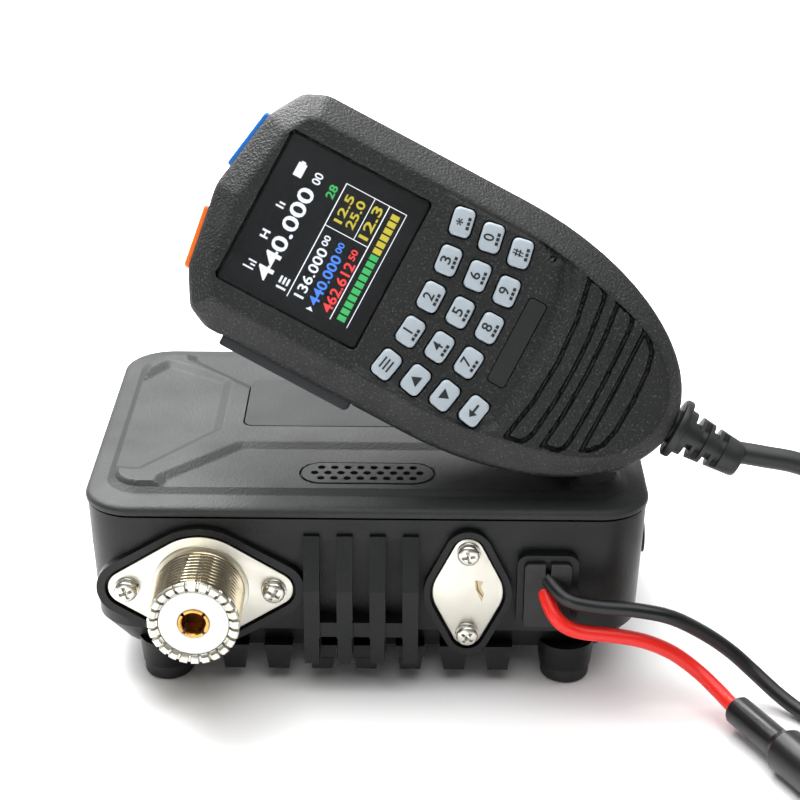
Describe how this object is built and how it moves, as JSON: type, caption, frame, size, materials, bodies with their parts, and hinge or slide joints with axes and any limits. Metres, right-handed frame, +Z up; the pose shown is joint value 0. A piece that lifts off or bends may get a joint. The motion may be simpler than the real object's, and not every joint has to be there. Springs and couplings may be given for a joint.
{
  "type": "mobile transceiver",
  "caption": "Compact mobile transceiver base with a ribbed die-cast case and antenna socket, with a keypad hand microphone with display propped on its cover, cords coiled beside it.",
  "frame": {"origin": "on the surface it stands on, under the middle of the base unit and the microphone together", "axes": "X runs along the connector face to the reader's right, -Y points out of the connector face, Z is up"},
  "size_m": [0.2049, 0.1433, 0.1015],
  "materials": {
    "black_die_casting": "black powder-coated die-cast aluminium, fine texture",
    "grey_textured_abs": "dark grey spark-textured ABS",
    "grey_inlay_abs": "dark grey satin ABS inlay",
    "black_grille_abs": "dark grey perforated ABS",
    "speaker_steel": "pressed steel",
    "circuit_board": "green solder mask on glass-epoxy board",
    "module_ceramic": "ceramic and copper power module",
    "nickel_plated_brass": "bright nickel plating on brass",
    "white_ptfe": "white PTFE",
    "gilt_contact": "gilt brass",
    "nickel_screw_steel": "nickel-plated steel",
    "black_rubber": "black rubber",
    "black_socket_plastic": "black moulded nylon",
    "brass_insert": "knurled brass insert",
    "red_pvc": "red PVC insulation",
    "black_pvc": "black PVC insulation",
    "gloss_black_plastic": "glossy black moulded plastic",
    "fuse_glass": "glass tube fuse",
    "red_terminal_tin": "tinned copper terminal with red sleeve",
    "black_terminal_tin": "tinned copper terminal with black sleeve",
    "grained_black_abs": "black leather-grained ABS",
    "display_glass": "dark display lens",
    "display_module": "colour display module",
    "badge_plastic": "blank dark name badge",
    "black_rubber_relief": "moulded black PVC relief",
    "black_cord_jacket": "matt black PVC cord jacket",
    "clear_plug_plastic": "clear polycarbonate modular plug",
    "stud_steel": "turned steel stud",
    "ptt_rubber": "dark grey talk key",
    "blue_key_plastic": "blue moulded key",
    "orange_key_plastic": "orange moulded key",
    "grey_keycap": "light grey moulded key cap"
  },
  "bodies": {
    "base_unit": {"chassis": "black_die_casting", "rear_panel": "black_die_casting", "top_cover": "grey_textured_abs", "cover_plate": "grey_inlay_abs", "speaker_grille": "black_grille_abs", "speaker": "speaker_steel", "main_board": "circuit_board", "power_module": "module_ceramic", "antenna_socket": "nickel_plated_brass", "antenna_insulator": "white_ptfe", "antenna_contact": "gilt_contact", "antenna_screws": "nickel_screw_steel", "blank_plate": "nickel_plated_brass", "blank_plate_screws": "nickel_screw_steel", "cable_grommet": "black_rubber", "rubber_feet": "black_rubber", "case_screws": "nickel_screw_steel", "mic_jack": "black_socket_plastic", "audio_jack": "black_socket_plastic", "bracket_inserts": "brass_insert", "red_lead": "red_pvc", "black_lead": "black_pvc", "fuse_cap": "gloss_black_plastic", "fuse_body": "gloss_black_plastic", "fuse": "fuse_glass", "red_coil": "red_pvc", "black_coil": "black_pvc", "red_terminal": "red_terminal_tin", "black_terminal": "black_terminal_tin"},
    "hand_microphone": {"handset_front": "grained_black_abs", "handset_rear": "grained_black_abs", "display_window": "display_glass", "display_panel": "display_module", "keypad_board": "circuit_board", "badge": "badge_plastic", "mic_capsule": "speaker_steel", "strain_relief": "black_rubber_relief", "mic_cord": "black_cord_jacket", "mic_cord_coil": "black_cord_jacket", "mic_plug": "clear_plug_plastic", "handset_screws": "nickel_screw_steel", "hanger_stud": "stud_steel"},
    "ptt_key": {"ptt_key": "ptt_rubber"},
    "blue_key": {"blue_key": "blue_key_plastic"},
    "orange_key": {"orange_key": "orange_key_plastic"},
    "key_menu": {"key_menu": "grey_keycap"},
    "key_1": {"key_1": "grey_keycap"},
    "key_2": {"key_2": "grey_keycap"},
    "key_3": {"key_3": "grey_keycap"},
    "key_star": {"key_star": "grey_keycap"},
    "key_up": {"key_up": "grey_keycap"},
    "key_4": {"key_4": "grey_keycap"},
    "key_5": {"key_5": "grey_keycap"},
    "key_6": {"key_6": "grey_keycap"},
    "key_0": {"key_0": "grey_keycap"},
    "key_down": {"key_down": "grey_keycap"},
    "key_7": {"key_7": "grey_keycap"},
    "key_8": {"key_8": "grey_keycap"},
    "key_9": {"key_9": "grey_keycap"},
    "key_hash": {"key_hash": "grey_keycap"},
    "key_exit": {"key_exit": "grey_keycap"}
  },
  "joints": [
    {"name": "microphone_lift", "type": "slide", "parent": "base_unit", "child": "hand_microphone", "axis": [0, 0, 1], "range_m": [0, 0.12]},
    {"name": "ptt_press", "type": "hinge", "parent": "hand_microphone", "child": "ptt_key", "pos_m": [-0.02566, -0.01232, 0.06195], "axis": [0, -0.9085, 0.4179], "range_deg": [0, 3.5], "stiffness_Nm_per_rad": 0.4, "springref_deg": -3.44},
    {"name": "blue_key_press", "type": "slide", "parent": "hand_microphone", "child": "blue_key", "axis": [0.8862, -0.1936, -0.4209], "range_m": [0, 0.0006], "stiffness_N_per_m": 300, "springref_m": -0.001},
    {"name": "orange_key_press", "type": "slide", "parent": "hand_microphone", "child": "orange_key", "axis": [0.8862, -0.1936, -0.4209], "range_m": [0, 0.0006], "stiffness_N_per_m": 300, "springref_m": -0.001},
    {"name": "key_menu_press", "type": "slide", "parent": "hand_microphone", "child": "key_menu", "axis": [0, 0.9085, -0.4179], "range_m": [0, 0.0006], "stiffness_N_per_m": 300, "springref_m": -0.001},
    {"name": "key_1_press", "type": "slide", "parent": "hand_microphone", "child": "key_1", "axis": [0, 0.9085, -0.4179], "range_m": [0, 0.0006], "stiffness_N_per_m": 300, "springref_m": -0.001},
    {"name": "key_2_press", "type": "slide", "parent": "hand_microphone", "child": "key_2", "axis": [0, 0.9085, -0.4179], "range_m": [0, 0.0006], "stiffness_N_per_m": 300, "springref_m": -0.001},
    {"name": "key_3_press", "type": "slide", "parent": "hand_microphone", "child": "key_3", "axis": [0, 0.9085, -0.4179], "range_m": [0, 0.0006], "stiffness_N_per_m": 300, "springref_m": -0.001},
    {"name": "key_star_press", "type": "slide", "parent": "hand_microphone", "child": "key_star", "axis": [0, 0.9085, -0.4179], "range_m": [0, 0.0006], "stiffness_N_per_m": 300, "springref_m": -0.001},
    {"name": "key_up_press", "type": "slide", "parent": "hand_microphone", "child": "key_up", "axis": [0, 0.9085, -0.4179], "range_m": [0, 0.0006], "stiffness_N_per_m": 300, "springref_m": -0.001},
    {"name": "key_4_press", "type": "slide", "parent": "hand_microphone", "child": "key_4", "axis": [0, 0.9085, -0.4179], "range_m": [0, 0.0006], "stiffness_N_per_m": 300, "springref_m": -0.001},
    {"name": "key_5_press", "type": "slide", "parent": "hand_microphone", "child": "key_5", "axis": [0, 0.9085, -0.4179], "range_m": [0, 0.0006], "stiffness_N_per_m": 300, "springref_m": -0.001},
    {"name": "key_6_press", "type": "slide", "parent": "hand_microphone", "child": "key_6", "axis": [0, 0.9085, -0.4179], "range_m": [0, 0.0006], "stiffness_N_per_m": 300, "springref_m": -0.001},
    {"name": "key_0_press", "type": "slide", "parent": "hand_microphone", "child": "key_0", "axis": [0, 0.9085, -0.4179], "range_m": [0, 0.0006], "stiffness_N_per_m": 300, "springref_m": -0.001},
    {"name": "key_down_press", "type": "slide", "parent": "hand_microphone", "child": "key_down", "axis": [0, 0.9085, -0.4179], "range_m": [0, 0.0006], "stiffness_N_per_m": 300, "springref_m": -0.001},
    {"name": "key_7_press", "type": "slide", "parent": "hand_microphone", "child": "key_7", "axis": [0, 0.9085, -0.4179], "range_m": [0, 0.0006], "stiffness_N_per_m": 300, "springref_m": -0.001},
    {"name": "key_8_press", "type": "slide", "parent": "hand_microphone", "child": "key_8", "axis": [0, 0.9085, -0.4179], "range_m": [0, 0.0006], "stiffness_N_per_m": 300, "springref_m": -0.001},
    {"name": "key_9_press", "type": "slide", "parent": "hand_microphone", "child": "key_9", "axis": [0, 0.9085, -0.4179], "range_m": [0, 0.0006], "stiffness_N_per_m": 300, "springref_m": -0.001},
    {"name": "key_hash_press", "type": "slide", "parent": "hand_microphone", "child": "key_hash", "axis": [0, 0.9085, -0.4179], "range_m": [0, 0.0006], "stiffness_N_per_m": 300, "springref_m": -0.001},
    {"name": "key_exit_press", "type": "slide", "parent": "hand_microphone", "child": "key_exit", "axis": [0, 0.9085, -0.4179], "range_m": [0, 0.0006], "stiffness_N_per_m": 300, "springref_m": -0.001}
  ]
}
